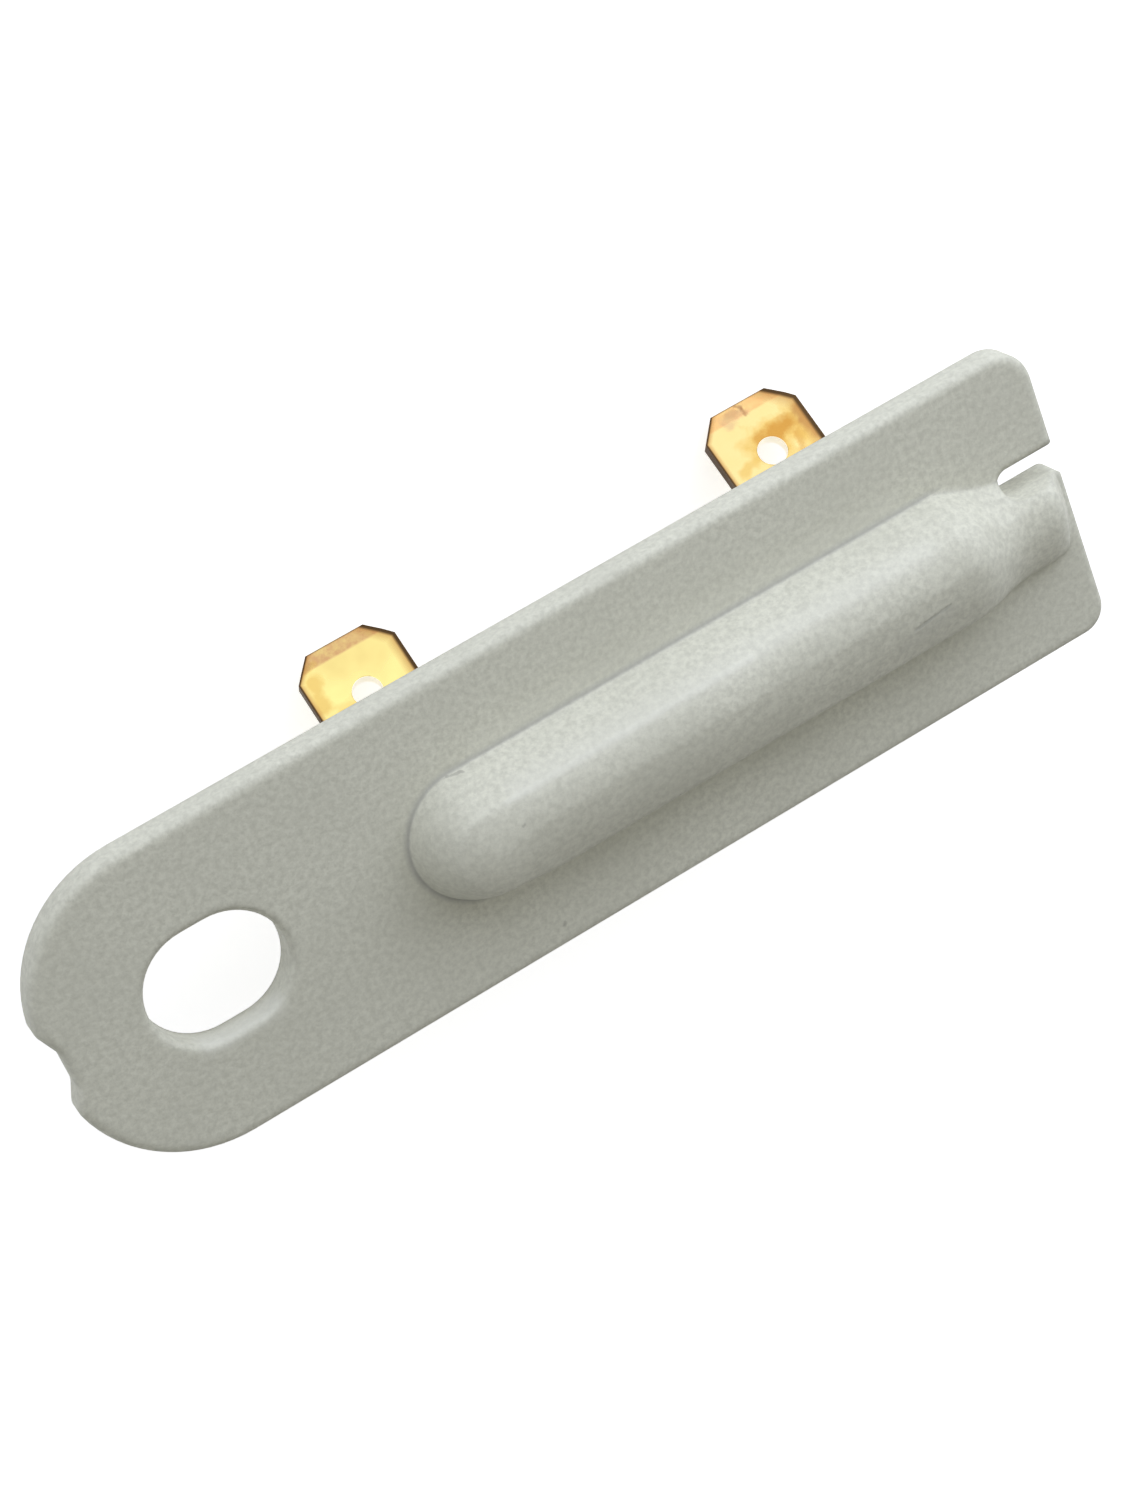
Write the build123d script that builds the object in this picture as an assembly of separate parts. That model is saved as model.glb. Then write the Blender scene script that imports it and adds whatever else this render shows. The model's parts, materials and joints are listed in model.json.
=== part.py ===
from build123d import *
from math import cos, pi, radians, sin
import os

# Thermal fuse for an air duct: a moulded plate with a half-round ridge along its front face,
# an oval screw hole in the rounded end and two blade terminals that lean out of the back.
# The ridge is hollow from behind. A pellet-type thermal cutoff lies in it, its leads are
# welded to the terminals, and potting compound fills the rest.
# Frame: the origin is the middle of the screw hole on the front face. X runs along the plate
# towards the slotted end, Y towards the edge that the blades pass, Z out of the front face.
# Everything is in millimetres.

# Moulded plate
PLATE_LENGTH = 67.4
PLATE_WIDTH = 19.25
PLATE_THICKNESS = 1.9
HOLE_TO_ROUND_END = 10.2
ROUND_END_RADIUS = 8.3
BLADE_SIDE_CORNER_RADIUS = 2.4
PLAIN_SIDE_CORNER_RADIUS = 1.65
FRONT_EDGE_RADIUS = 0.5
BACK_EDGE_CHAMFER = 0.15

# Oval screw hole
HOLE_LENGTH = 8.6
HOLE_WIDTH = 7.15
HOLE_EDGE_CHAMFER = 0.25

# Shallow notch in the round end
NOTCH_Y = -0.4
NOTCH_MOUTH = 6.0
NOTCH_FLOOR = 2.4
NOTCH_DEPTH = 0.78
NOTCH_CORNER_RADIUS = 1.0

# Open slot in the other end
SLOT_Y = 2.05
SLOT_WIDTH = 1.75
SLOT_DEPTH = 4.3
SLOT_MOUTH_RADIUS = 0.7

# Ridge over the cutoff. Its section has slanted flanks under an arched crown, which past the
# dome leans to the plain side. Beyond the crown's end the ridge falls to a low tail beside
# the slot.
RIDGE_Y = -0.1
DOME_TIP_TO_LEFT_TAB = 3.3
RIDGE_HALF_WIDTH = 4.05
RIDGE_HEIGHT = 4.0
RIDGE_WALL = 1.2
LEAN_LENGTH = 3.05
BODY_STEPS = 5
FALL_LENGTH = 5.0
FALL_STEPS = 4
TAIL_LENGTH = 4.2
TAIL_Y = -0.7
TAIL_HALF_WIDTH = 3.25
TAIL_HEIGHT = 1.9
TAIL_END_GAP = 1.0
TAIL_END_Y = -1.0
TAIL_END_HALF_WIDTH = 2.8
TAIL_END_HEIGHT = 0.8
TAIL_LIP_HALF_WIDTH = 2.4
TAIL_LIP_HEIGHT = 0.12

# Outlines of the ridge's section from its plain side to the blades' side: the middle of the
# flank, the shoulder, the middle of the slope, the top, the middle of the crown, the other
# shoulder and the other flank's middle, as shares of the half width and the height.
DOME_PROFILE = (
    (-0.83, 0.44), (-0.6, 0.84), (-0.31, 0.957), (0, 1),
    (0.31, 0.957), (0.6, 0.84), (0.83, 0.44),
)
LEANING_PROFILE = (
    (-0.92, 0.38), (-0.72, 0.74), (-0.32, 0.925), (0.12, 1),
    (0.38, 0.955), (0.6, 0.84), (0.83, 0.44),
)
ROUND_PROFILE = (
    (-0.93, 0.38), (-0.73, 0.74), (-0.32, 0.925), (0.12, 1),
    (0.4, 0.94), (0.64, 0.8), (0.87, 0.42),
)
TAIL_PROFILE = (
    (-0.93, 0.33), (-0.8, 0.6), (-0.45, 0.88), (-0.1, 1),
    (0.15, 0.97), (0.38, 0.86), (0.68, 0.5),
)
TAIL_END_PROFILE = (
    (-0.85, 0.12), (-0.65, 0.3), (-0.25, 0.7), (0.1, 0.93),
    (0.28, 0.97), (0.45, 0.9), (0.77, 0.47),
)

# Potted recess in the back, wide enough for the blades' shoulders
RECESS_DEPTH = 1.1
RECESS_HALF_WIDTH = 3.4
RECESS_END_ROOM = 0.8
POTTING_BELOW_BACK = 0.1
CHANNEL_INTO_DOME = 1.3
LEAD_POCKET_ROOM = 0.25
LEAD_POCKET_HALF_WIDTH = 1.6
LEAD_POCKET_HEADROOM = 0.2

# Blade terminals, 6.35 by 0.8 tabs. They and the ridge keep their places from the slotted end.
RIGHT_TAB_TO_SLOTTED_END = 13.5
TAB_SPACING = 28.0
TAB_WIDTH = 6.35
TAB_THICKNESS = 0.8
TAB_LEAN = 45.0
LEFT_TAB_REACH = 14.4
RIGHT_TAB_REACH = 15.0
TAB_CORNER_ACROSS = 1.28
TAB_CORNER_ALONG = 1.43
TAB_BEVEL_LENGTH = 0.9
TAB_BEVEL_DEPTH = 0.2
TAB_HOLE_RADIUS = 0.9
TAB_HOLE_FROM_TIP = 3.72
TONGUE_WIDTH = 2.4
TONGUE_PAST_LEAD = 0.6
SHOULDER_UNDER_POTTING = 0.6

# Thermal cutoff. Its springs are made of six-sided wire in short straight lengths.
CUTOFF_HEIGHT = 0.5
CASE_RADIUS = 2.0
CASE_LENGTH = 11.0
CASE_WALL = 0.25
CASE_END_WALL = 0.3
CASE_RIM_RADIUS = 1.35
LEAD_RADIUS = 0.5
FLOATING_CLEARANCE = 0.05
RIVET_HEAD_RADIUS = 0.8
RIVET_HEAD_LENGTH = 0.35
RIVET_FLANGE_RADIUS = 0.9
RIVET_FLANGE_LENGTH = 0.25
PELLET_LENGTH = 2.7
DISC_THICKNESS = 0.2
BARREL_SPRING_LENGTH = 2.9
BARREL_SPRING_RADIUS = 1.3
BARREL_WIRE_RADIUS = 0.2
BARREL_TURNS = 4
STAR_THICKNESS = 0.15
STAR_HUB_RADIUS = 1.2
STAR_FINGERS = 6
STAR_SLIT_WIDTH = 0.4
CONTACT_HEAD_RADIUS = 0.9
CONTACT_HEAD_LENGTH = 0.5
TRIP_SPRING_LENGTH = 2.5
TRIP_SPRING_RADIUS = 1.3
TRIP_WIRE_RADIUS = 0.12
TRIP_TURNS = 4
WIRE_SIDES = 6
LENGTHS_PER_TURN = 10
BUSHING_NECK_RADIUS = 1.2
BUSHING_NECK_LENGTH = 1.1
SEAL_LENGTH = 1.3
SEAL_END_RADIUS = 0.8

# Places worked out from the sizes above
ROUND_END_X = -HOLE_TO_ROUND_END
SLOTTED_END_X = ROUND_END_X + PLATE_LENGTH
BACK_Z = -PLATE_THICKNESS
POTTING_Z = BACK_Z + POTTING_BELOW_BACK
RIGHT_TAB_X = SLOTTED_END_X - RIGHT_TAB_TO_SLOTTED_END
LEFT_TAB_X = RIGHT_TAB_X - TAB_SPACING
DOME_X = LEFT_TAB_X - DOME_TIP_TO_LEFT_TAB + RIDGE_HALF_WIDTH
LEAN_X = DOME_X + LEAN_LENGTH
TAIL_X = SLOTTED_END_X - TAIL_LENGTH
CROWN_END_X = TAIL_X - FALL_LENGTH
CAVITY_RADIUS = RIDGE_HALF_WIDTH - RIDGE_WALL
RECESS_LEFT_X = LEFT_TAB_X - TAB_WIDTH / 2 - RECESS_END_ROOM
RECESS_RIGHT_X = RIGHT_TAB_X + TAB_WIDTH / 2 + RECESS_END_ROOM
CHANNEL_LEFT_X = DOME_X - CHANNEL_INTO_DOME
LEAD_POCKET_X = LEFT_TAB_X - TONGUE_WIDTH / 2 - LEAD_POCKET_ROOM
LEAD_POCKET_TOP_Z = CUTOFF_HEIGHT + LEAD_RADIUS + LEAD_POCKET_HEADROOM
CHANNEL_RIGHT_X = RIGHT_TAB_X + TAB_WIDTH / 2
CASE_X = (LEFT_TAB_X + RIGHT_TAB_X - CASE_LENGTH) / 2
CASE_BORE_RADIUS = CASE_RADIUS - CASE_WALL
DISC_RADIUS = CASE_BORE_RADIUS - FLOATING_CLEARANCE
PELLET_X = CASE_X + CASE_END_WALL
PELLET_DISC_X = PELLET_X + PELLET_LENGTH
BARREL_X = PELLET_DISC_X + DISC_THICKNESS
SPRING_DISC_X = BARREL_X + BARREL_SPRING_LENGTH
STAR_X = SPRING_DISC_X + DISC_THICKNESS
CONTACT_X = STAR_X + STAR_THICKNESS
BUSHING_X = CONTACT_X + TRIP_SPRING_LENGTH
RIM_X = CASE_X + CASE_LENGTH
BUSHING_END_X = RIM_X + BUSHING_NECK_LENGTH
LEAD_TO_TAB = LEAD_RADIUS + TAB_THICKNESS / 2

# The blade's own plane: its origin is the point behind the lead's middle, its second axis
# points down the blade, and its third is the blade's upper face normal.
TAB_DOWN = (0, cos(radians(TAB_LEAN)), -sin(radians(TAB_LEAN)))
TAB_NORMAL = (0, sin(radians(TAB_LEAN)), cos(radians(TAB_LEAN)))
WELD_Y = RIDGE_Y - TAB_NORMAL[1] * LEAD_TO_TAB
WELD_Z = CUTOFF_HEIGHT - TAB_NORMAL[2] * LEAD_TO_TAB
SHOULDER_AT = (WELD_Z - POTTING_Z - SHOULDER_UNDER_POTTING) / sin(radians(TAB_LEAN))


def plate_outline():
    # Rounded rectangle with the notch in its round end and the oval screw hole.
    outline = Pos(ROUND_END_X + PLATE_LENGTH / 2, 0) * Rectangle(PLATE_LENGTH, PLATE_WIDTH)
    outline = fillet(outline.vertices().sort_by(Axis.X)[:2], ROUND_END_RADIUS)
    plain_corner, blade_corner = outline.vertices().sort_by(Axis.X)[-2:].sort_by(Axis.Y)
    outline = fillet(plain_corner, PLAIN_SIDE_CORNER_RADIUS)
    blade_corner = outline.vertices().sort_by_distance(blade_corner)[0]
    outline = fillet(blade_corner, BLADE_SIDE_CORNER_RADIUS)
    floor_x = ROUND_END_X + NOTCH_DEPTH
    mouth, floor = NOTCH_MOUTH / 2, NOTCH_FLOOR / 2
    notch = Polygon(
        (ROUND_END_X, NOTCH_Y + mouth),
        (floor_x, NOTCH_Y + floor),
        (floor_x, NOTCH_Y - floor),
        (ROUND_END_X, NOTCH_Y - mouth),
        align=None,
    )
    outline -= notch
    corners = outline.vertices().sort_by(Axis.X)[:4]
    outline = fillet(corners, NOTCH_CORNER_RADIUS)
    return outline - SlotOverall(HOLE_LENGTH, HOLE_WIDTH)


def plate():
    # Flat plate with a rounded front rim; the back rim and the screw hole are eased.
    solid = extrude(Pos(0, 0, BACK_Z) * plate_outline(), PLATE_THICKNESS)
    front = solid.faces().sort_by(Axis.Z)[-1]
    solid = fillet(front.outer_wire().edges(), FRONT_EDGE_RADIUS)
    back = solid.faces().sort_by(Axis.Z)[0]
    solid = chamfer(back.outer_wire().edges(), BACK_EDGE_CHAMFER)
    front = solid.faces().sort_by(Axis.Z)[-1]
    return chamfer(front.inner_wires()[0].edges(), HOLE_EDGE_CHAMFER)


def ridge_section(x, y_middle, half_width, height, profile):
    # Closed section across the ridge at x: a flank, a slope, a crown, a flank and the base.
    shares = [(-1, 0), *profile, (1, 0)]
    points = [(x, y_middle + across * half_width, up * height) for across, up in shares]
    arcs = [ThreePointArc(*points[first : first + 3]) for first in (0, 2, 4, 6)]
    return make_face([*arcs, Line(points[-1], points[0])])


def between(start, end, share):
    return start + (end - start) * share


def profile_between(start, end, share):
    pairs = zip(start, end)
    return [(between(a[0], b[0], share), between(a[1], b[1], share)) for a, b in pairs]


def crown_section(x, profile):
    return ridge_section(x, RIDGE_Y, RIDGE_HALF_WIDTH, RIDGE_HEIGHT, profile)


def body_section(share):
    # Section between the end of the lean, at share 0, and the crown's end, at share 1.
    profile = profile_between(LEANING_PROFILE, ROUND_PROFILE, share)
    return crown_section(between(LEAN_X, CROWN_END_X, share), profile)


def fall_section(share):
    # Section between the crown's end, at share 0, and the tail, at share 1.
    eased = (1 - cos(pi * share)) / 2
    return ridge_section(
        between(CROWN_END_X, TAIL_X, share),
        between(RIDGE_Y, TAIL_Y, eased),
        between(RIDGE_HALF_WIDTH, TAIL_HALF_WIDTH, eased),
        between(RIDGE_HEIGHT, TAIL_HEIGHT, eased),
        profile_between(ROUND_PROFILE, TAIL_PROFILE, eased),
    )


def tail_section(end_gap, half_width, height):
    x = SLOTTED_END_X - end_gap
    return ridge_section(x, TAIL_END_Y, half_width, height, TAIL_END_PROFILE)


def ridge():
    # Domed end, long body, the fall to the tail, and the tail's short slope at the end.
    dome_section = crown_section(DOME_X, DOME_PROFILE)
    body_sections = [body_section(step / BODY_STEPS) for step in range(BODY_STEPS + 1)]
    fall_sections = [fall_section(step / FALL_STEPS) for step in range(FALL_STEPS + 1)]
    tail_end = tail_section(TAIL_END_GAP, TAIL_END_HALF_WIDTH, TAIL_END_HEIGHT)
    tail_lip = tail_section(FRONT_EDGE_RADIUS, TAIL_LIP_HALF_WIDTH, TAIL_LIP_HEIGHT)
    body = loft([dome_section, *body_sections], ruled=True)
    fall = loft([*fall_sections, tail_end]) + loft([tail_end, tail_lip], ruled=True)
    blade_side = Pos(DOME_X, RIDGE_Y + RIDGE_HALF_WIDTH, RIDGE_HEIGHT / 2) * Box(
        RIDGE_HALF_WIDTH, 2 * RIDGE_HALF_WIDTH, 2 * RIDGE_HEIGHT
    )
    dome = revolve(dome_section & blade_side, Axis((DOME_X, RIDGE_Y, 0), (0, 0, 1)), 180)
    return body + fall + dome


def along_ridge(x_from, x_to, width, z_from, z_to):
    # Block whose middle plane is the ridge's.
    middle = Pos((x_from + x_to) / 2, RIDGE_Y, (z_from + z_to) / 2)
    return middle * Box(x_to - x_from, width, z_to - z_from)


def cavity():
    # The hollow behind the ridge: a shallow recess in the back, a round-roofed channel and a
    # low pocket in the dome for the end of the lead.
    outline = SlotOverall(RECESS_RIGHT_X - RECESS_LEFT_X, 2 * RECESS_HALF_WIDTH)
    middle = Pos((RECESS_LEFT_X + RECESS_RIGHT_X) / 2, RIDGE_Y, BACK_Z)
    recess = extrude(middle * outline, RECESS_DEPTH)
    length, width = CHANNEL_RIGHT_X - CHANNEL_LEFT_X, 2 * CAVITY_RADIUS
    axis = Pos((CHANNEL_LEFT_X + CHANNEL_RIGHT_X) / 2, RIDGE_Y, 0) * Rot(0, 90, 0)
    roof = axis * Cylinder(CAVITY_RADIUS, length)
    walls = along_ridge(CHANNEL_LEFT_X, CHANNEL_RIGHT_X, width, BACK_Z, 0)
    below = along_ridge(CHANNEL_LEFT_X, CHANNEL_RIGHT_X, width, BACK_Z - width, BACK_Z)
    pocket = along_ridge(
        LEAD_POCKET_X, DOME_X, 2 * LEAD_POCKET_HALF_WIDTH, BACK_Z, LEAD_POCKET_TOP_Z
    )
    return recess + (roof + walls - below) + pocket


def end_slot():
    # Cutter for the slot: half of it lies past the end. The lower corner of its mouth is round.
    cutter = Pos(SLOTTED_END_X, SLOT_Y) * SlotOverall(2 * SLOT_DEPTH, SLOT_WIDTH)
    low = SLOT_Y - SLOT_WIDTH / 2
    corner_x, corner_y = SLOTTED_END_X - SLOT_MOUTH_RADIUS, low - SLOT_MOUTH_RADIUS
    corner = Pos(SLOTTED_END_X, low) * Rectangle(2 * SLOT_MOUTH_RADIUS, 2 * SLOT_MOUTH_RADIUS)
    corner -= Pos(corner_x, corner_y) * Circle(SLOT_MOUTH_RADIUS)
    return extrude(Pos(0, 0, BACK_Z) * (cutter + corner), PLATE_THICKNESS + RIDGE_HEIGHT)


def body_moulding():
    return plate() + ridge() - cavity() - end_slot()


def terminal(x, reach):
    # Flat blade: full width from the potting down to the bevelled tip, and a narrow tongue
    # above it that crosses behind the cutoff's lead.
    half, tongue, tip = TAB_WIDTH / 2, TONGUE_WIDTH / 2, TAB_WIDTH / 2 - TAB_CORNER_ACROSS
    right_side = [
        (tongue, -TONGUE_PAST_LEAD),
        (tongue, SHOULDER_AT),
        (half, SHOULDER_AT),
        (half, reach - TAB_CORNER_ALONG),
        (tip, reach),
    ]
    left_side = [(-across, along) for across, along in reversed(right_side)]
    outline = Polygon(*right_side, *left_side, align=None)
    outline -= Pos(0, reach - TAB_HOLE_FROM_TIP) * Circle(TAB_HOLE_RADIUS)
    blade_plane = Plane(origin=(x, WELD_Y, WELD_Z), x_dir=(1, 0, 0), z_dir=TAB_NORMAL)
    blade = extrude(outline, TAB_THICKNESS / 2, both=True)
    skin = TAB_THICKNESS / 2
    edge_view = Polygon(
        (-TONGUE_PAST_LEAD, skin),
        (reach - TAB_BEVEL_LENGTH, skin),
        (reach, skin - TAB_BEVEL_DEPTH),
        (reach, TAB_BEVEL_DEPTH - skin),
        (reach - TAB_BEVEL_LENGTH, -skin),
        (-TONGUE_PAST_LEAD, -skin),
        align=None,
    )
    side_plane = Plane(origin=(0, 0, 0), x_dir=(0, 1, 0), z_dir=(1, 0, 0))
    blade &= extrude(side_plane * edge_view, TAB_WIDTH / 2, both=True)
    return blade_plane * blade


def turned(*profile):
    # Piece turned about the cutoff's axis. Profile points are (x, distance from the axis).
    face = make_face(Polyline(*[(x, 0, r) for x, r in profile], close=True))
    return Pos(0, RIDGE_Y, CUTOFF_HEIGHT) * revolve(face, Axis.X, 360)


def rod(x_from, x_to, radius):
    return turned((x_from, 0), (x_to, 0), (x_to, radius), (x_from, radius))


def cutoff_case():
    # Drawn cup. The lead is riveted through its closed end, its rim is rolled over the bushing.
    return turned(
        (CASE_X, LEAD_RADIUS),
        (CASE_X, CASE_RADIUS),
        (RIM_X, CASE_RADIUS),
        (RIM_X, CASE_RIM_RADIUS),
        (RIM_X - CASE_WALL, CASE_RIM_RADIUS),
        (RIM_X - CASE_WALL, CASE_BORE_RADIUS),
        (PELLET_X, CASE_BORE_RADIUS),
        (PELLET_X, LEAD_RADIUS),
    )


def case_lead():
    # Wire from the left blade, with a flange outside the case and a rivet head inside.
    wire = rod(LEFT_TAB_X - TONGUE_WIDTH / 2, PELLET_X, LEAD_RADIUS)
    flange = rod(CASE_X - RIVET_FLANGE_LENGTH, CASE_X, RIVET_FLANGE_RADIUS)
    return wire + flange + rod(PELLET_X, PELLET_X + RIVET_HEAD_LENGTH, RIVET_HEAD_RADIUS)


def thermal_pellet():
    # Pressed pellet that melts at the trip temperature, dished for the rivet head.
    room = RIVET_HEAD_LENGTH + FLOATING_CLEARANCE
    pellet = rod(PELLET_X, PELLET_DISC_X, DISC_RADIUS)
    return pellet - rod(PELLET_X, PELLET_X + room, RIVET_HEAD_RADIUS + FLOATING_CLEARANCE)


def disc(x):
    return rod(x, x + DISC_THICKNESS, DISC_RADIUS)


def star_contact():
    # Sliding contact: a hub with sprung fingers that reach the case wall.
    contact = rod(STAR_X, CONTACT_X, CASE_BORE_RADIUS)
    slit_length = CASE_BORE_RADIUS - STAR_HUB_RADIUS
    slit = Pos(0, 0, STAR_HUB_RADIUS + slit_length) * Box(
        2 * STAR_THICKNESS, STAR_SLIT_WIDTH, 2 * slit_length
    )
    for number in range(STAR_FINGERS):
        turn = Rot(360 * (number + 0.5) / STAR_FINGERS, 0, 0)
        contact -= Pos(STAR_X + STAR_THICKNESS / 2, RIDGE_Y, CUTOFF_HEIGHT) * turn * slit
    return contact


def coil_spring(x, length, coil_radius, wire_radius, turns):
    # Wire wound about the cutoff's axis, between two flat faces length apart.
    rise = length - 2 * wire_radius
    path = Helix(rise / turns, rise, coil_radius)
    sections = []
    for number in range(turns * LENGTHS_PER_TURN + 1):
        share = number / (turns * LENGTHS_PER_TURN)
        place = path @ share
        outward = Vector(place.X, place.Y, 0)
        across = Plane(origin=place, x_dir=outward, z_dir=path % share)
        sections.append(across * RegularPolygon(wire_radius, WIRE_SIDES, rotation=180 / WIRE_SIDES))
    wire = loft(sections, ruled=True)
    return Pos(x + wire_radius, RIDGE_Y, CUTOFF_HEIGHT) * Rot(0, 90, 0) * wire


def ceramic_bushing():
    # Insulator in the case's mouth: a wide collar under the rim and a narrow neck outside it.
    return turned(
        (BUSHING_X, LEAD_RADIUS),
        (BUSHING_X, DISC_RADIUS),
        (RIM_X - CASE_WALL, DISC_RADIUS),
        (RIM_X - CASE_WALL, BUSHING_NECK_RADIUS),
        (BUSHING_END_X, BUSHING_NECK_RADIUS),
        (BUSHING_END_X, LEAD_RADIUS),
    )


def isolated_lead():
    # Wire to the right blade, headed inside the case where the star contact presses on it.
    wire = rod(CONTACT_X, RIGHT_TAB_X + TONGUE_WIDTH / 2, LEAD_RADIUS)
    return wire + rod(CONTACT_X, CONTACT_X + CONTACT_HEAD_LENGTH, CONTACT_HEAD_RADIUS)


def epoxy_seal():
    # Cone of sealing resin over the rim, the bushing's neck and the start of the lead.
    return turned(
        (RIM_X, BUSHING_NECK_RADIUS),
        (RIM_X, CASE_BORE_RADIUS),
        (BUSHING_END_X + SEAL_LENGTH, SEAL_END_RADIUS),
        (BUSHING_END_X + SEAL_LENGTH, LEAD_RADIUS),
        (BUSHING_END_X, LEAD_RADIUS),
        (BUSHING_END_X, BUSHING_NECK_RADIUS),
    )


def potting(cast_in):
    # Compound that fills the cavity round the case and the pieces that reach out of it.
    fill = cavity() - along_ridge(ROUND_END_X, SLOTTED_END_X, PLATE_WIDTH, BACK_Z, POTTING_Z)
    cutoff = rod(CASE_X, RIM_X, CASE_RADIUS)
    for piece in [cutoff, *cast_in]:
        fill -= piece
    return fill


def build():
    pieces = {
        "body_moulding": body_moulding(),
        "left_terminal": terminal(LEFT_TAB_X, LEFT_TAB_REACH),
        "right_terminal": terminal(RIGHT_TAB_X, RIGHT_TAB_REACH),
        "cutoff_case": cutoff_case(),
        "case_lead": case_lead(),
        "thermal_pellet": thermal_pellet(),
        "pellet_disc": disc(PELLET_DISC_X),
        "barrel_spring": coil_spring(
            BARREL_X, BARREL_SPRING_LENGTH, BARREL_SPRING_RADIUS, BARREL_WIRE_RADIUS, BARREL_TURNS
        ),
        "spring_disc": disc(SPRING_DISC_X),
        "star_contact": star_contact(),
        "trip_spring": coil_spring(
            CONTACT_X, TRIP_SPRING_LENGTH, TRIP_SPRING_RADIUS, TRIP_WIRE_RADIUS, TRIP_TURNS
        ),
        "ceramic_bushing": ceramic_bushing(),
        "isolated_lead": isolated_lead(),
        "epoxy_seal": epoxy_seal(),
    }
    cast_in = ["left_terminal", "right_terminal", "case_lead"]
    cast_in += ["ceramic_bushing", "epoxy_seal", "isolated_lead"]
    pieces["potting"] = potting([pieces[name] for name in cast_in])
    return pieces


os.makedirs("parts", exist_ok=True)
for name, piece in build().items():
    export_step(piece, f"parts/{name}.step")
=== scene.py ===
import json
from math import radians

import bpy
from mathutils import Matrix, Vector


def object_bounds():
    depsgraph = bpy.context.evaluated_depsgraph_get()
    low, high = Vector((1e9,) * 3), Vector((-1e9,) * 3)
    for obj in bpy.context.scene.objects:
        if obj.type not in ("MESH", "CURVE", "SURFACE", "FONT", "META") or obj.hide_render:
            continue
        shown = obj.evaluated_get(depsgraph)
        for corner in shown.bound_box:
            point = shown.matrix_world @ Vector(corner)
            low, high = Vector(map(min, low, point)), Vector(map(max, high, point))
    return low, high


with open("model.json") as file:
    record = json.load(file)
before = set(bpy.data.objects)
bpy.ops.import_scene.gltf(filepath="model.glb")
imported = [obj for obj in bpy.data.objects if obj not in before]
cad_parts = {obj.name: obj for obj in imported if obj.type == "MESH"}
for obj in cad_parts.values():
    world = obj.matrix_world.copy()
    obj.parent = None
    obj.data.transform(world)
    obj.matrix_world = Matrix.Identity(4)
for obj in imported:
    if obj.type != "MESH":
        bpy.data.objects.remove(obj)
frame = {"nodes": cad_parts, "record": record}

# Thermal fuse: a pale moulded plate with brass blades, seen from above its front face.
# Places are in metres in the part's own frame, whose origin is the middle of the screw hole.

CAD_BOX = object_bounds()
NODES = frame["nodes"]
MOUNTS = {mount["name"]: mount for mount in frame["record"]["mounts"]}
MM = 0.001

# Photograph and camera
PHOTO_WIDTH = 1125
FOCAL_PIXELS = 3200
SENSOR_WIDTH = 36.0
CAMERA_PLACE = Vector((-17.24, 85.70, 152.27)) * MM
CAMERA_TARGET = Vector((22.85, 1.60, 0.0)) * MM
CAMERA_ROLL = radians(127.7)
CAMERA_NEAR = 0.01

# Floor and lights
FLOOR_GAP = 0.3 * MM
FLOOR_SIZE = 4.0
FLOOR_COLOUR = (0.86, 0.86, 0.86, 1.0)
FLOOR_ROUGHNESS = 0.9
FLOOR_GLOW = 0.66
GLOW_COLOUR = (1.0, 1.0, 1.0, 1.0)
WORLD_COLOUR = (1.0, 0.995, 0.97, 1.0)
WORLD_LEVEL = 0.26
COOL_LIGHT = (0.94, 0.985, 1.11)
WARM_LIGHT = (1.0, 0.98, 0.80)
KEY_PLACE = Vector((0.17, 0.265, 0.13))
KEY_WIDTH = 0.8
KEY_HEIGHT = 0.36
KEY_POWER = 1.29
TOP_PLACE = Vector((0.05, 0.10, 0.60))
TOP_SIZE = 0.5
TOP_POWER = 0.25
SIDE_PLACE = Vector((-0.24, 0.10, 0.055))
SIDE_WIDTH = 0.3
SIDE_HEIGHT = 0.2
SIDE_POWER = 0.14
END_PLACE = Vector((0.13, 0.07, 0.05))
END_TARGET = Vector((0.052, 0.0, 0.0))
END_SIZE = 0.1
END_POWER = 0.026

# Blades: the middle of each tip, the way in from it, which both share, the corners and the hole
LEFT_TIP = Vector(MOUNTS["left_tab"]["pos_m"])
RIGHT_TIP = Vector(MOUNTS["right_tab"]["pos_m"])
BLADE_INWARD = -Vector(MOUNTS["left_tab"]["axis"])
BLADE_HALF = 3.175 * MM
CORNER_SLANT = Vector((0.745, 0.667))
CORNER_ALONG = 1.43 * MM
HOLE_FROM_TIP = 3.72 * MM
HOLE_RADIUS = 0.9 * MM

# Ridge: where the dome is turned about, and the corner in which the ridge stands on the plate
DOME_MIDDLE = Vector((16.45, -0.1, 0.0)) * MM
FOOT_RADIUS = 4.05 * MM
FOOT_RISE = 0.06 * MM
FOOT_FADE = Vector((0.08, 0.4)) * MM
FOOT_HEIGHT = Vector((0.2, 0.6)) * MM
FOOT_DEPTH = Vector((-0.3, -0.1)) * MM
FOOT_END = Vector((48.5, 50.0)) * MM
SOFT_EDGE = 0.6 * MM
SOFT_EDGE_SAMPLES = 8

# What a mask spreads onto, as its value goes up
FADE_IN = (0.0, 1.0)
FADE_OUT = (1.0, 0.0)


# Steps that the node groups and materials share

def give(tree, socket, value):
    # The value is another node's output, or a plain number, colour or vector.
    if isinstance(value, bpy.types.NodeSocket):
        tree.links.new(value, socket)
    else:
        socket.default_value = value


def enabled(sockets):
    return [socket for socket in sockets if socket.enabled]


def object_place(tree):
    return tree.nodes.new("ShaderNodeTexCoord").outputs["Object"]


def split_place(tree, place):
    split = tree.nodes.new("ShaderNodeSeparateXYZ")
    tree.links.new(place, split.inputs[0])
    return split.outputs["X"], split.outputs["Y"], split.outputs["Z"]


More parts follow.
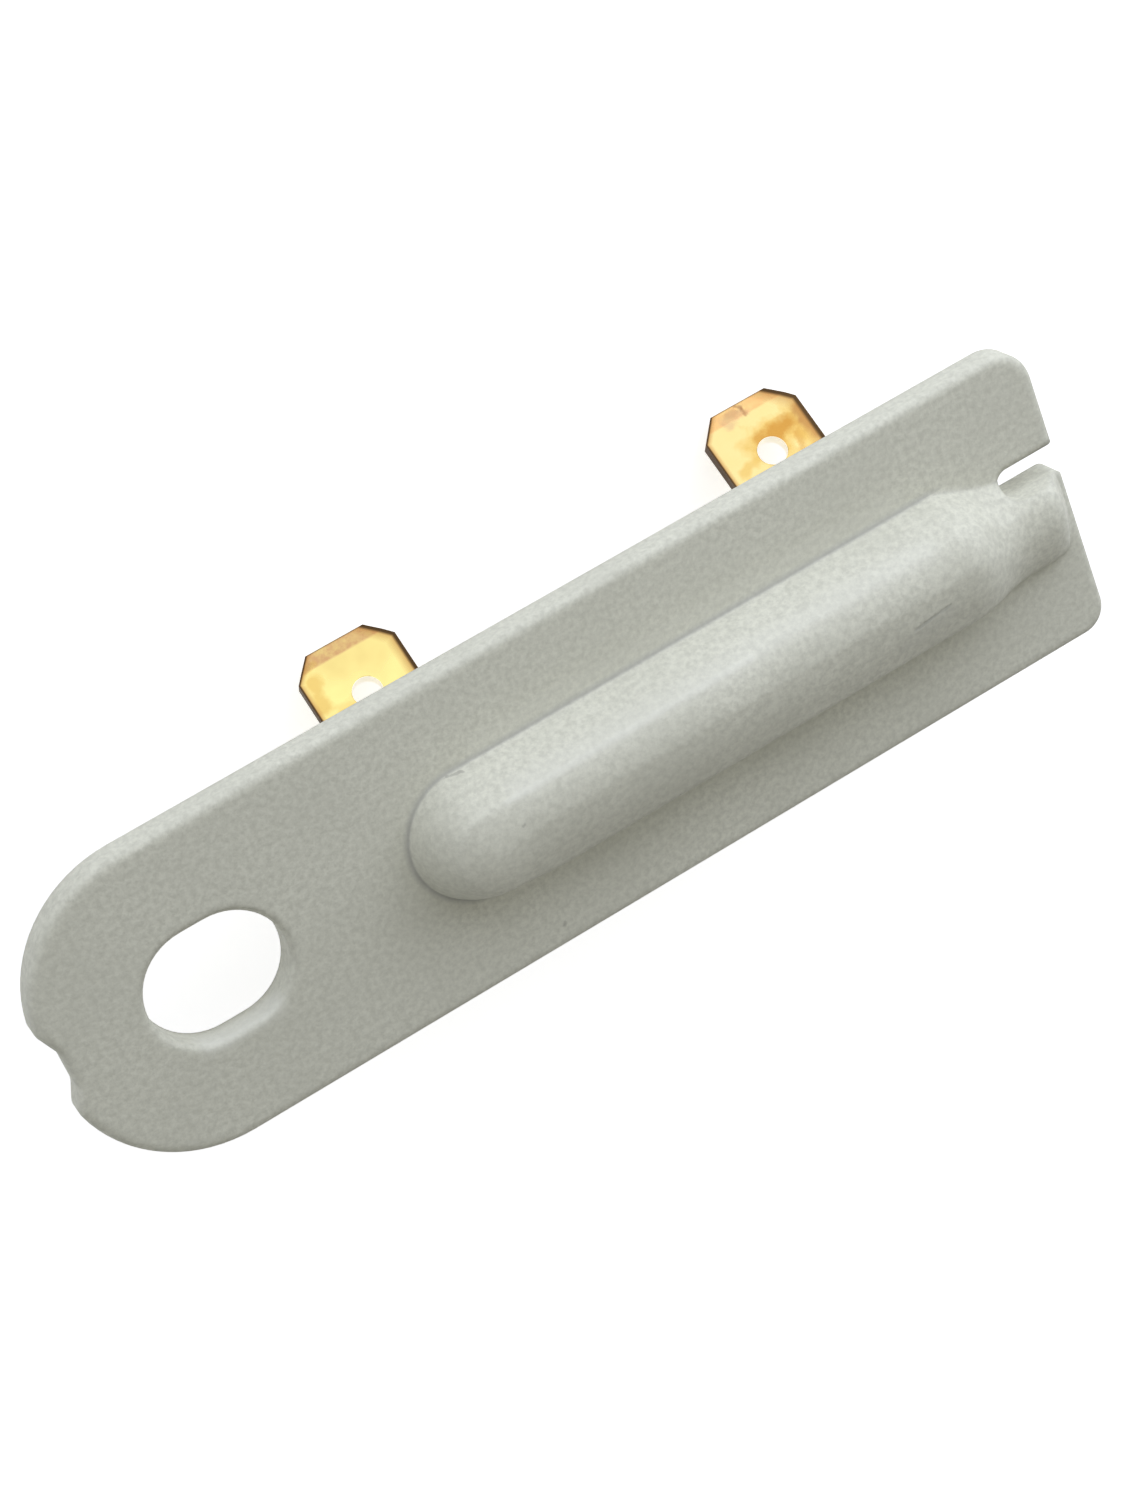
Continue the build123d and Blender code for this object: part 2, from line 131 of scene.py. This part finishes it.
def noise(tree, scale, detail=3.0, roughness=0.55, place=None):
    # On the object's own coordinates, or on the place; scale is in features per metre.
    node = tree.nodes.new("ShaderNodeTexNoise")
    node.inputs["Detail"].default_value = detail
    node.inputs["Roughness"].default_value = roughness
    give(tree, node.inputs["Vector"], place or object_place(tree))
    give(tree, node.inputs["Scale"], scale)
    return node.outputs["Fac"]


def spread(tree, value, between, onto):
    # Maps a value between two limits onto two others, held at the ends.
    node = tree.nodes.new("ShaderNodeMapRange")
    for name, limit in zip(("From Min", "From Max", "To Min", "To Max"), (*between, *onto)):
        give(tree, node.inputs[name], limit)
    tree.links.new(value, node.inputs["Value"])
    return node.outputs["Result"]


def mixed(tree, share, one, other):
    node = tree.nodes.new("ShaderNodeMix")
    node.data_type = "RGBA"
    for socket, value in zip(enabled(node.inputs), (share, one, other)):
        give(tree, socket, value)
    return enabled(node.outputs)[0]


def arithmetic(tree, operation, *values):
    node = tree.nodes.new("ShaderNodeMath")
    node.operation = operation
    for socket, value in zip(node.inputs, values):
        give(tree, socket, value)
    return node.outputs[0]


def vector_step(tree, operation, *values):
    node = tree.nodes.new("ShaderNodeVectorMath")
    node.operation = operation
    for socket, value in zip(enabled(node.inputs), values):
        give(tree, socket, value)
    return enabled(node.outputs)[0]


def product(tree, first, *others):
    for other in others:
        first = arithmetic(tree, "MULTIPLY", first, other)
    return first


def hypotenuse(tree, one, other):
    squares = [arithmetic(tree, "POWER", side, 2.0) for side in (one, other)]
    return arithmetic(tree, "SQRT", arithmetic(tree, "ADD", *squares))


def painted(tree, colour, tone, *masks):
    # Lays a tone over the colour where all the masks meet.
    return mixed(tree, product(tree, *masks), colour, tone)


# Shared node groups

FLOAT = "NodeSocketFloat"
COLOUR = "NodeSocketColor"
VECTOR = "NodeSocketVector"
FINISH_OUTPUTS = (("Colour", COLOUR), ("Height", FLOAT), ("Roughness", FLOAT))

# Moulded skin: bands of noise, and what they do to the tone and the roughness
FINE_GRAIN = 3200.0
DRIFT_DETAIL = 2.0
DRIFT_BAND = (0.35, 0.65)
DRIFT_SHARE = 0.35
GRAIN_DETAIL = 4.0
GRAIN_ROUGHNESS = 0.65
GRAIN_BAND = (0.36, 0.64)
GRAIN_SHARE = 0.92
SKIN_DULL_BAND = (0.3, 0.7)
SKIN_ROUGHNESS = (0.55, 0.68)

# Rolled metal: its lines, the dull patches on it, and its roughness
LINE_ROUGHNESS = 0.5
PATCH_SCALE = 260.0
PATCH_BAND = (0.42, 0.72)
METAL_DULL_BAND = (0.35, 0.7)
METAL_ROUGHNESS = (0.16, 0.34)

# Stroke: where its solid core ends and how far its sides may wander, in widths
STROKE_CORE = 0.35
STROKE_WANDER = 4.0
NOISE_MIDDLE = 0.5


def new_group(name, inputs, outputs):
    group = bpy.data.node_groups.new(name, "ShaderNodeTree")
    for socket_name, kind, value in inputs:
        socket = group.interface.new_socket(socket_name, in_out="INPUT", socket_type=kind)
        socket.default_value = value
    for socket_name, kind in outputs:
        group.interface.new_socket(socket_name, in_out="OUTPUT", socket_type=kind)
    given = group.nodes.new("NodeGroupInput").outputs
    result = group.nodes.new("NodeGroupOutput").inputs
    return group, given, result


def moulded_skin_group():
    # Slight tone drift and fine grain of a moulded or cast surface.
    group, given, result = new_group(
        "moulded_skin",
        (
            ("Colour", COLOUR, (0.7, 0.7, 0.7, 1.0)),
            ("Shade", COLOUR, (0.6, 0.6, 0.6, 1.0)),
            ("Grain Scale", FLOAT, FINE_GRAIN),
            ("Drift Scale", FLOAT, 120.0),
        ),
        FINISH_OUTPUTS,
    )
    drift = noise(group, given["Drift Scale"], DRIFT_DETAIL)
    grain = noise(group, given["Grain Scale"], GRAIN_DETAIL, GRAIN_ROUGHNESS)
    drifted = spread(group, drift, DRIFT_BAND, (0.0, DRIFT_SHARE))
    tone = painted(group, given["Colour"], given["Shade"], drifted)
    specks = spread(group, grain, GRAIN_BAND, (0.0, GRAIN_SHARE))
    group.links.new(painted(group, tone, given["Shade"], specks), result["Colour"])
    group.links.new(grain, result["Height"])
    group.links.new(spread(group, drift, SKIN_DULL_BAND, SKIN_ROUGHNESS), result["Roughness"])
    return group


def rolled_metal_group():
    # Fine rolling lines along one axis, with patches of duller tone.
    group, given, result = new_group(
        "rolled_metal",
        (
            ("Colour", COLOUR, (0.8, 0.8, 0.8, 1.0)),
            ("Stain", COLOUR, (0.5, 0.5, 0.5, 1.0)),
            ("Stain Share", FLOAT, 0.4),
            ("Line Stretch", VECTOR, (300.0, 6000.0, 6000.0)),
        ),
        FINISH_OUTPUTS,
    )
    stretched = vector_step(group, "MULTIPLY", object_place(group), given["Line Stretch"])
    lines = noise(group, 1.0, roughness=LINE_ROUGHNESS, place=stretched)
    patches = noise(group, PATCH_SCALE)
    stained = spread(group, patches, PATCH_BAND, (0.0, given["Stain Share"]))
    group.links.new(painted(group, given["Colour"], given["Stain"], stained), result["Colour"])
    group.links.new(lines, result["Height"])
    group.links.new(spread(group, patches, METAL_DULL_BAND, METAL_ROUGHNESS), result["Roughness"])
    return group


def stroke_group():
    # Mask of a ragged stroke on the surface, from one place to another.
    group, given, result = new_group(
        "stroke",
        (
            ("Start", VECTOR, (0.0, 0.0, 0.0)),
            ("End", VECTOR, (0.001, 0.0, 0.0)),
            ("Width", FLOAT, 0.2 * MM),
            ("Ragged", FLOAT, 0.5),
            ("Ragged Scale", FLOAT, 2500.0),
        ),
        (("Mask", FLOAT),),
    )
    run = vector_step(group, "SUBTRACT", given["End"], given["Start"])
    from_start = vector_step(group, "SUBTRACT", object_place(group), given["Start"])
    reached = vector_step(group, "DOT_PRODUCT", from_start, run)
    along = arithmetic(group, "DIVIDE", reached, vector_step(group, "DOT_PRODUCT", run, run))
    held = spread(group, along, (0.0, 1.0), (0.0, 1.0))
    nearest = vector_step(group, "SCALE", run, held)
    off = vector_step(group, "LENGTH", vector_step(group, "SUBTRACT", from_start, nearest))
    away = arithmetic(group, "DIVIDE", off, given["Width"])
    rough = arithmetic(group, "SUBTRACT", noise(group, given["Ragged Scale"]), NOISE_MIDDLE)
    away = arithmetic(group, "ADD", away, product(group, rough, given["Ragged"], STROKE_WANDER))
    group.links.new(spread(group, away, (STROKE_CORE, 1.0), FADE_OUT), result["Mask"])
    return group


def blade_group():
    # Places on a blade: across it from its middle, the way in from its cut sides and corners,
    # the way in from its tip, and the way out from its hole, all in metres.
    group, given, result = new_group(
        "blade_places",
        (("Tip", VECTOR, LEFT_TIP),),
        (("Across", FLOAT), ("From Side", FLOAT), ("From Tip", FLOAT), ("From Hole", FLOAT)),
    )
    place = vector_step(group, "SUBTRACT", object_place(group), given["Tip"])
    across = split_place(group, place)[0]
    tip = vector_step(group, "DOT_PRODUCT", place, BLADE_INWARD)
    side = arithmetic(group, "SUBTRACT", BLADE_HALF, arithmetic(group, "ABSOLUTE", across))
    past_corner = arithmetic(group, "SUBTRACT", tip, CORNER_ALONG)
    corner = arithmetic(
        group,
        "ADD",
        product(group, side, CORNER_SLANT.x),
        product(group, past_corner, CORNER_SLANT.y),
    )
    hole_along = arithmetic(group, "SUBTRACT", tip, HOLE_FROM_TIP)
    hole = hypotenuse(group, across, hole_along)
    group.links.new(across, result["Across"])
    group.links.new(arithmetic(group, "MINIMUM", side, corner), result["From Side"])
    group.links.new(tip, result["From Tip"])
    group.links.new(arithmetic(group, "SUBTRACT", hole, HOLE_RADIUS), result["From Hole"])
    return group


SKIN = moulded_skin_group()
METAL = rolled_metal_group()
STROKE = stroke_group()
BLADE = blade_group()


# Steps that the materials share

SKIN_BUMP = 0.012 * MM
METAL_BUMP = 0.002 * MM


def new_material(name, metallic=0.0):
    material = bpy.data.materials.new(name)
    material.use_nodes = True
    shader = material.node_tree.nodes["Principled BSDF"]
    shader.inputs["Metallic"].default_value = metallic
    return material, material.node_tree, shader


def placed(tree, group, **values):
    node = tree.nodes.new("ShaderNodeGroup")
    node.node_tree = group
    for name, value in values.items():
        node.inputs[name.replace("_", " ")].default_value = value
    return node.outputs


def dressed(tree, shader, colour, roughness, height, depth):
    # Leads a finish into the shader, with its height as a bump.
    bump = tree.nodes.new("ShaderNodeBump")
    bump.inputs["Distance"].default_value = depth
    tree.links.new(height, bump.inputs["Height"])
    tree.links.new(bump.outputs["Normal"], shader.inputs["Normal"])
    tree.links.new(colour, shader.inputs["Base Color"])
    tree.links.new(roughness, shader.inputs["Roughness"])
    return bump


def skin_material(name, colour, shade, grain_scale=FINE_GRAIN):
    material, tree, shader = new_material(name)
    skin = placed(tree, SKIN, Colour=colour, Shade=shade, Grain_Scale=grain_scale)
    dressed(tree, shader, skin["Colour"], skin["Roughness"], skin["Height"], SKIN_BUMP)
    return material


def metal_material(name, colour, stain):
    material, tree, shader = new_material(name, metallic=1.0)
    metal = placed(tree, METAL, Colour=colour, Stain=stain)
    dressed(tree, shader, metal["Colour"], metal["Roughness"], metal["Height"], METAL_BUMP)
    return material


def stroke(tree, start, end, width, rag):
    # Places and widths are in millimetres, as they were read off the model. A rag says how
    # ragged the stroke's sides are, and how fine that is in features per metre.
    placed_stroke = placed(
        tree,
        STROKE,
        Start=Vector(start) * MM,
        End=Vector(end) * MM,
        Width=width * MM,
        Ragged=rag[0],
        Ragged_Scale=rag[1],
    )
    return placed_stroke["Mask"]


def marked(tree, colour, marks, rag):
    # Each mark has its tone, its share, where it starts and ends, and its width.
    for tone, share, start, end, width in marks:
        colour = painted(tree, colour, tone, stroke(tree, start, end, width, rag), share)
    return colour


# Housing: its tones, and its marks with the tone, share, start, end and width of each

HOUSING_PALE = (0.745, 0.743, 0.632, 1.0)
HOUSING_SHADE = (0.58, 0.578, 0.487, 1.0)
HOUSING_GRAIN = 2700.0
HOUSING_BUMP = 0.03 * MM
CORNER_SHADE = (0.42, 0.42, 0.38, 1.0)
DARK_NICK = (0.16, 0.15, 0.13, 1.0)
# Pale tone of the painted highlight and the bands of painted light
PAINTED_LIGHT_TONE = (0.79, 0.79, 0.71, 1.0)
FOOT_SHARE = 0.6
FLOW_SHARE = 0.45
FLOW_SINK = 0.7
FLOW_MARK = ((43.7, -1.1, 3.77), (46.1, -0.8, 3.83), 0.16)
FLOW_RAG = (0.5, 1200.0)
# Painted highlight along the crease on the ridge's upper flank
CROWN_HIGHLIGHT = ((PAINTED_LIGHT_TONE, 0.3, (18.0, 2.4, 3.36), (34.0, 2.45, 3.28), 0.34),)
CROWN_HIGHLIGHT_RAG = (0.25, 700.0)
# Bands of painted light: on the ridge's upper flank, low on its lower flank, on the plate beside its
# upper foot, and on the lower wall of the screw hole
PAINTED_LIGHT_BANDS = (
    (PAINTED_LIGHT_TONE, 0.25, (19.0, 2.9, 3.15), (46.0, 2.85, 3.15), 1.2),
    (PAINTED_LIGHT_TONE, 0.8, (17.5, -4.05, 0.5), (46.5, -4.05, 0.5), 1.0),
    (PAINTED_LIGHT_TONE, 0.15, (18.5, 4.6, 0.0), (46.5, 4.6, 0.0), 1.0),
    (PAINTED_LIGHT_TONE, 0.5, (-2.2, -3.5, -0.6), (2.2, -3.5, -0.6), 1.0),
)
LIGHT_BAND_RAG = (0.1, 500.0)
# Painted shade on the crown beside the flow mark
FLOW_SHADE = ((CORNER_SHADE, 0.16, (42.6, -1.9, 3.55), (46.0, -1.35, 3.7), 0.75),)
FLOW_SHADE_RAG = (0.2, 700.0)
DOME_NICK = ((DARK_NICK, 0.4, (16.2, 3.86, 0.19), (17.0, 3.82, 0.37), 0.16),)
DOME_NICK_RAG = (0.9, 2500.0)
SMALL_NICKS = (
    (DARK_NICK, 0.35, (18.1, 0.9, 3.92), (18.2, 0.92, 3.92), 0.14),
    (DARK_NICK, 0.35, (18.9, -8.3, 0.0), (19.0, -8.2, 0.0), 0.16),
)
NICK_RAG = (0.5, 2500.0)


def foot_line(tree):
    # Thin shade in the corner where the ridge and its dome stand on the plate.
    place = vector_step(tree, "SUBTRACT", object_place(tree), DOME_MIDDLE)
    along, across, height = split_place(tree, place)
    out = hypotenuse(tree, arithmetic(tree, "MINIMUM", along, 0.0), across)
    off = arithmetic(tree, "SUBTRACT", out, FOOT_RADIUS)
    end = [limit - DOME_MIDDLE.x for limit in FOOT_END]
    return product(
        tree,
        spread(tree, off, FOOT_FADE, FADE_OUT),
        spread(tree, off, (-FOOT_RISE, 0.0), FADE_IN),
        spread(tree, height, FOOT_HEIGHT, FADE_OUT),
        spread(tree, height, FOOT_DEPTH, FADE_IN),
        spread(tree, along, end, FADE_OUT),
    )


def soften_edges(tree, bump):
    # Rounds the housing's creases in the shading only.
    soft = tree.nodes.new("ShaderNodeBevel")
    soft.samples = SOFT_EDGE_SAMPLES
    soft.inputs["Radius"].default_value = SOFT_EDGE
    tree.links.new(soft.outputs["Normal"], bump.inputs["Normal"])


def housing_plastic():
    # Pale moulded skin with a painted highlight and bands of painted light, painted shade along the
    # ridge's foot and beside a flow mark, and a few small nicks.
    material, tree, shader = new_material("housing_plastic")
    skin = placed(tree, SKIN, Colour=HOUSING_PALE, Shade=HOUSING_SHADE, Grain_Scale=HOUSING_GRAIN)
    # Painted highlight along the ridge's crease
    colour = marked(tree, skin["Colour"], CROWN_HIGHLIGHT, CROWN_HIGHLIGHT_RAG)
    # Bands of painted light
    colour = marked(tree, colour, PAINTED_LIGHT_BANDS, LIGHT_BAND_RAG)
    colour = painted(tree, colour, CORNER_SHADE, foot_line(tree), FOOT_SHARE)
    flow = stroke(tree, *FLOW_MARK, FLOW_RAG)
    colour = painted(tree, colour, CORNER_SHADE, flow, FLOW_SHARE)
    colour = marked(tree, colour, FLOW_SHADE, FLOW_SHADE_RAG)
    colour = marked(tree, colour, DOME_NICK, DOME_NICK_RAG)
    colour = marked(tree, colour, SMALL_NICKS, NICK_RAG)
    sunk = arithmetic(tree, "SUBTRACT", skin["Height"], product(tree, flow, FLOW_SINK))
    bump = dressed(tree, shader, colour, skin["Roughness"], sunk, HOUSING_BUMP)
    soften_edges(tree, bump)
    return material


# Blades

BRASS_STAIN = (0.60, 0.44, 0.15, 1.0)
BRASS_STAIN_SHARE = 0.55
BRASS_LINES = (9000.0, 700.0, 700.0)
LEFT_FACE = (0.70, 0.585, 0.21, 1.0)
LEFT_BEVEL_REFLECTION = (0.51, 0.30, 0.133, 1.0)
RIGHT_FACE = (0.66, 0.52, 0.217, 1.0)
RIGHT_BEVEL_REFLECTION = (0.72, 0.42, 0.165, 1.0)
# Painted reflections at the blades' edges, and painted light on the walls of their holes
WARM_EDGE_REFLECTION = (0.38, 0.18, 0.05, 1.0)
DARK_EDGE_REFLECTION = (0.085, 0.048, 0.020, 1.0)
HOLE_WALL_LIGHT = (0.95, 0.89, 0.74, 1.0)
ORANGE = (0.45, 0.22, 0.04, 1.0)
AMBER = (0.56, 0.36, 0.09, 1.0)
ROSE = (0.52, 0.33, 0.17, 1.0)
SCORCH = (0.30, 0.14, 0.06, 1.0)

# Wear breaks up the painted darker reflection on the tip's bevel and the painted dark ring round the hole
WEAR_SCALE = 1600.0
WEAR_DETAIL = 4.0
WEAR_ROUGHNESS = 0.7
BEVEL_WEAR_BAND = (0.32, 0.6)
BEVEL_WEAR = (0.35, 1.0)
RING_WEAR_BAND = (0.45, 0.62)
RING_WEAR = (0.0, 0.5)
BEVEL_EDGE = Vector((0.9, 1.02)) * MM
TIP_EDGE = Vector((0.03, 0.09)) * MM
TIP_EDGE_SHARE = (0.75, 0.0)
HOLE_LIP = 0.01 * MM
RING_EDGE = 0.08 * MM

# The painted dark reflection along a blade's cut sides: how wide it is on the left side, and on the right
# side of each blade, and how far its dark part and the painted warmer reflection beside it reach in such
# widths
RIM_TURN = 0.5 * MM
LEFT_SIDE_RIM = 0.13 * MM
LEFT_BLADE_RIM = 0.3 * MM
RIGHT_BLADE_RIM = 0.36 * MM
RIM_REACH = (0.55, 1.1)
WARM_REFLECTION_REACH = (0.8, 2.8)
WARM_REFLECTION_SHARE = (0.75, 0.0)
EDGE_DULLNESS = 0.3

# Heat tints: tone, share, start, end and width of each
TINT_RAG = (0.5, 900.0)
BEVEL_TINT_RAG = (0.5, 1800.0)
LEFT_TINTS = (
    (AMBER, 0.7, (13.0, 7.4, -7.8), (13.3, 8.6, -9.0), 0.7),
    (AMBER, 0.5, (14.2, 6.6, -6.9), (15.6, 6.9, -7.2), 0.9),
)
LEFT_BEVEL_TINTS = (
    (AMBER, 0.5, (13.9, 9.2, -9.6), (12.8, 9.0, -9.4), 0.4),
    (SCORCH, 0.3, (12.9, 9.0, -9.4), (13.7, 9.25, -9.65), 0.3),
)
RIGHT_TINTS = (
    (AMBER, 0.85, (43.5, 7.9, -8.2), (46.6, 8.2, -8.5), 1.7),
    (ORANGE, 0.9, (44.1, 8.0, -8.3), (45.4, 8.3, -8.6), 0.8),
    (ORANGE, 0.7, (43.5, 8.3, -8.6), (43.5, 7.6, -7.9), 0.5),
    (ORANGE, 0.5, (45.6, 7.6, -7.9), (45.3, 6.9, -7.2), 0.4),
    (AMBER, 0.7, (41.6, 7.3, -7.6), (41.9, 7.5, -7.8), 0.5),
    (AMBER, 0.6, (45.8, 6.4, -6.7), (46.2, 7.4, -7.7), 0.7),
    (SCORCH, 0.5, (46.5, 8.6, -8.9), (46.6, 7.3, -7.6), 0.5),
)
RIGHT_BEVEL_TINTS = (
    (ROSE, 0.6, (42.4, 9.6, -9.9), (43.5, 9.7, -10.0), 0.6),
    (SCORCH, 0.2, (42.7, 9.8, -10.2), (43.2, 9.8, -10.2), 0.35),
    (SCORCH, 0.7, (43.45, 9.97, -10.45), (43.68, 9.8, -10.2), 0.2),
    (SCORCH, 0.6, (43.68, 9.8, -10.2), (43.62, 9.45, -9.8), 0.18),
)


def blade_brass(name, tip, face, bevel_reflection, right_rim, tints, bevel_tints):
    # Bright rolled brass with heat tints, painted dark reflections at its cut edges, a painted darker
    # reflection on its tip bevel and painted light in its hole.
    material, tree, shader = new_material(name, metallic=1.0)
    metal = placed(
        tree,
        METAL,
        Colour=face,
        Stain=BRASS_STAIN,
        Stain_Share=BRASS_STAIN_SHARE,
        Line_Stretch=BRASS_LINES,
    )
    places = placed(tree, BLADE, Tip=tip)
    from_tip, from_hole = places["From Tip"], places["From Hole"]
    worn = noise(tree, WEAR_SCALE, WEAR_DETAIL, WEAR_ROUGHNESS)
    colour = marked(tree, metal["Colour"], tints, TINT_RAG)
    bevelled = spread(tree, from_tip, BEVEL_EDGE, FADE_OUT)
    patchy = spread(tree, worn, BEVEL_WEAR_BAND, BEVEL_WEAR)
    # Painted darker reflection on the bevel at the tip, broken up in patches
    colour = painted(tree, colour, bevel_reflection, bevelled, patchy)
    colour = marked(tree, colour, bevel_tints, BEVEL_TINT_RAG)
    rim_width = spread(tree, places["Across"], (-RIM_TURN, RIM_TURN), (LEFT_SIDE_RIM, right_rim))
    inward = arithmetic(tree, "DIVIDE", places["From Side"], rim_width)
    # Painted warmer reflection on the face next to the dark rim of the cut sides
    colour = painted(tree, colour, WARM_EDGE_REFLECTION, spread(tree, inward, WARM_REFLECTION_REACH, WARM_REFLECTION_SHARE))
    # Painted light on the wall of the blade's hole
    colour = painted(tree, colour, HOLE_WALL_LIGHT, spread(tree, from_hole, (0.0, HOLE_LIP), FADE_OUT))
    # Painted dark ring round the hole's edge, broken up in patches
    ring = product(
        tree,
        spread(tree, from_hole, (HOLE_LIP, RING_EDGE), FADE_OUT),
        spread(tree, from_hole, (0.0, HOLE_LIP), FADE_IN),
        spread(tree, worn, RING_WEAR_BAND, RING_WEAR),
    )
    # Painted dark reflection along the cut sides, at the tip edge and round the hole
    edge_reflection = spread(tree, inward, RIM_REACH, FADE_OUT)
    edge_reflection = arithmetic(tree, "MAXIMUM", edge_reflection, spread(tree, from_tip, TIP_EDGE, TIP_EDGE_SHARE))
    edge_reflection = arithmetic(tree, "MAXIMUM", edge_reflection, ring)
    colour = painted(tree, colour, DARK_EDGE_REFLECTION, edge_reflection)
    dull = arithmetic(tree, "ADD", metal["Roughness"], product(tree, edge_reflection, EDGE_DULLNESS))
    dressed(tree, shader, colour, dull, metal["Height"], METAL_BUMP)
    return material


# Finishes of the nodes

FINISHES = {
    "body_moulding": housing_plastic(),
    "left_terminal": blade_brass(
        "left_blade_brass",
        LEFT_TIP,
        LEFT_FACE,
        LEFT_BEVEL_REFLECTION,
        LEFT_BLADE_RIM,
        LEFT_TINTS,
        LEFT_BEVEL_TINTS,
    ),
    "right_terminal": blade_brass(
        "right_blade_brass",
        RIGHT_TIP,
        RIGHT_FACE,
        RIGHT_BEVEL_REFLECTION,
        RIGHT_BLADE_RIM,
        RIGHT_TINTS,
        RIGHT_BEVEL_TINTS,
    ),
    "potting": skin_material("potting_resin", (0.52, 0.49, 0.42, 1.0), (0.45, 0.42, 0.36, 1.0), 1200.0),
    "cutoff_case": metal_material("plated_case", (0.75, 0.73, 0.68, 1.0), (0.6, 0.58, 0.53, 1.0)),
    "case_lead": metal_material("tinned_wire", (0.78, 0.78, 0.76, 1.0), (0.62, 0.61, 0.58, 1.0)),
    "barrel_spring": metal_material("spring_steel", (0.55, 0.55, 0.56, 1.0), (0.4, 0.4, 0.4, 1.0)),
    "star_contact": metal_material("contact_silver", (0.86, 0.85, 0.81, 1.0), (0.7, 0.66, 0.58, 1.0)),
    "thermal_pellet": skin_material("pellet_wax", (0.80, 0.75, 0.60, 1.0), (0.72, 0.66, 0.5, 1.0)),
    "ceramic_bushing": skin_material("bushing_ceramic", (0.86, 0.83, 0.76, 1.0), (0.78, 0.75, 0.68, 1.0)),
    "epoxy_seal": skin_material("seal_resin", (0.20, 0.12, 0.06, 1.0), (0.14, 0.08, 0.04, 1.0), 900.0),
}
SAME_FINISH = {
    "isolated_lead": "case_lead",
    "trip_spring": "barrel_spring",
    "pellet_disc": "barrel_spring",
    "spring_disc": "barrel_spring",
}


def finish_nodes():
    for name, piece in NODES.items():
        material = FINISHES[SAME_FINISH.get(name, name)]
        for place in piece.material_slots:
            place.material = material


# Floor, lights and camera

def add_floor():
    bpy.ops.object.select_all(action="DESELECT")
    low = CAD_BOX[0][2] - FLOOR_GAP
    bpy.ops.mesh.primitive_plane_add(size=FLOOR_SIZE, location=(0, 0, low))
    floor = bpy.context.object
    floor.name = "floor"
    bpy.ops.object.transform_apply(location=True)
    material, tree, shader = new_material("floor_paper")
    shader.inputs["Base Color"].default_value = FLOOR_COLOUR
    shader.inputs["Roughness"].default_value = FLOOR_ROUGHNESS
    shader.inputs["Emission Color"].default_value = GLOW_COLOUR
    # Its glow is seen by the camera and in mirrors only, so it doesn't light the matt skin.
    path = tree.nodes.new("ShaderNodeLightPath").outputs
    mirrored = arithmetic(tree, "MAXIMUM", path["Is Glossy Ray"], path["Is Transmission Ray"])
    seen = arithmetic(tree, "MAXIMUM", path["Is Camera Ray"], mirrored)
    tree.links.new(product(tree, seen, FLOOR_GLOW), shader.inputs["Emission Strength"])
    floor.data.materials.append(material)


def light_world():
    world = bpy.data.worlds.new("studio")
    bpy.context.scene.world = world
    world.use_nodes = True
    back = world.node_tree.nodes["Background"]
    back.inputs["Color"].default_value = WORLD_COLOUR
    back.inputs["Strength"].default_value = WORLD_LEVEL


def facing(place, target):
    # Stands at the place and looks at the target.
    turn = (target - place).to_track_quat("-Z", "Y").to_matrix().to_4x4()
    return Matrix.Translation(place) @ turn


def add_softbox(name, place, target, width, height, power, colour):
    lamp = bpy.data.lights.new(name, "AREA")
    lamp.shape = "RECTANGLE"
    lamp.size = width
    lamp.size_y = height
    lamp.energy = power
    lamp.color = colour
    lamp_object = bpy.data.objects.new(name, lamp)
    bpy.context.scene.collection.objects.link(lamp_object)
    lamp_object.matrix_world = facing(place, target)


def add_camera():
    camera = bpy.data.cameras.new("camera")
    camera.sensor_fit = "HORIZONTAL"
    camera.sensor_width = SENSOR_WIDTH
    camera.lens = FOCAL_PIXELS / PHOTO_WIDTH * SENSOR_WIDTH
    camera.clip_start = CAMERA_NEAR
    camera_object = bpy.data.objects.new("camera", camera)
    bpy.context.scene.collection.objects.link(camera_object)
    roll = Matrix.Rotation(CAMERA_ROLL, 4, "Z")
    camera_object.matrix_world = facing(CAMERA_PLACE, CAMERA_TARGET) @ roll
    bpy.context.scene.camera = camera_object


finish_nodes()
add_floor()
light_world()
add_softbox("key_softbox", KEY_PLACE, CAMERA_TARGET, KEY_WIDTH, KEY_HEIGHT, KEY_POWER, COOL_LIGHT)
add_softbox("top_softbox", TOP_PLACE, CAMERA_TARGET, TOP_SIZE, TOP_SIZE, TOP_POWER, WARM_LIGHT)
add_softbox("side_softbox", SIDE_PLACE, CAMERA_TARGET, SIDE_WIDTH, SIDE_HEIGHT, SIDE_POWER, COOL_LIGHT)
add_softbox("end_softbox", END_PLACE, END_TARGET, END_SIZE, END_SIZE, END_POWER, COOL_LIGHT)
add_camera()
bpy.context.scene.view_settings.view_transform = "Standard"
